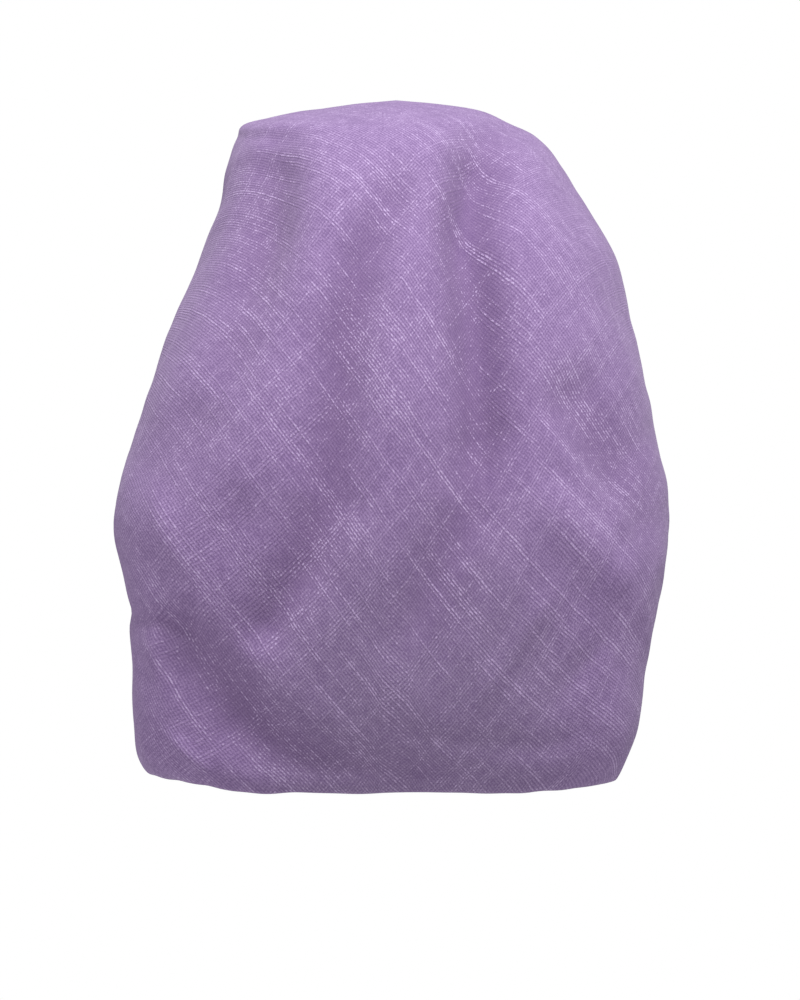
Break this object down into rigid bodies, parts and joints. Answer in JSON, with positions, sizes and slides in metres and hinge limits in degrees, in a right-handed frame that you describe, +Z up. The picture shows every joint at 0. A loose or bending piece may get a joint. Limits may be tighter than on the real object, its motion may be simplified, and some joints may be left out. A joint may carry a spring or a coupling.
{
  "type": "pre-tied bandana",
  "caption": "Slip-on head wrap of slub-woven cloth cut on the bias, with a full draped back that hangs over the nape, a brow band and an elastic nape.",
  "frame": {"origin": "where the top of the head touches the inside of the crown", "axes": "+Z up, +Y the way the wearer looks, +X the wearer's right"},
  "size_m": [0.1996, 0.234, 0.2446],
  "materials": {
    "panel_cloth": "matt lavender plain weave with slubs",
    "band_cloth": "matt lavender plain weave, folded double",
    "casing_cloth": "matt lavender plain weave, ruffled over elastic",
    "tie_cloth": "matt lavender plain weave, knotted"
  },
  "bodies": {
    "root": {"panel_front": "panel_cloth", "panel_crown": "panel_cloth", "panel_left": "panel_cloth", "panel_right": "panel_cloth", "brow_band": "band_cloth", "nape_elastic": "casing_cloth", "nape_tie": "tie_cloth"}
  },
  "joints": []
}
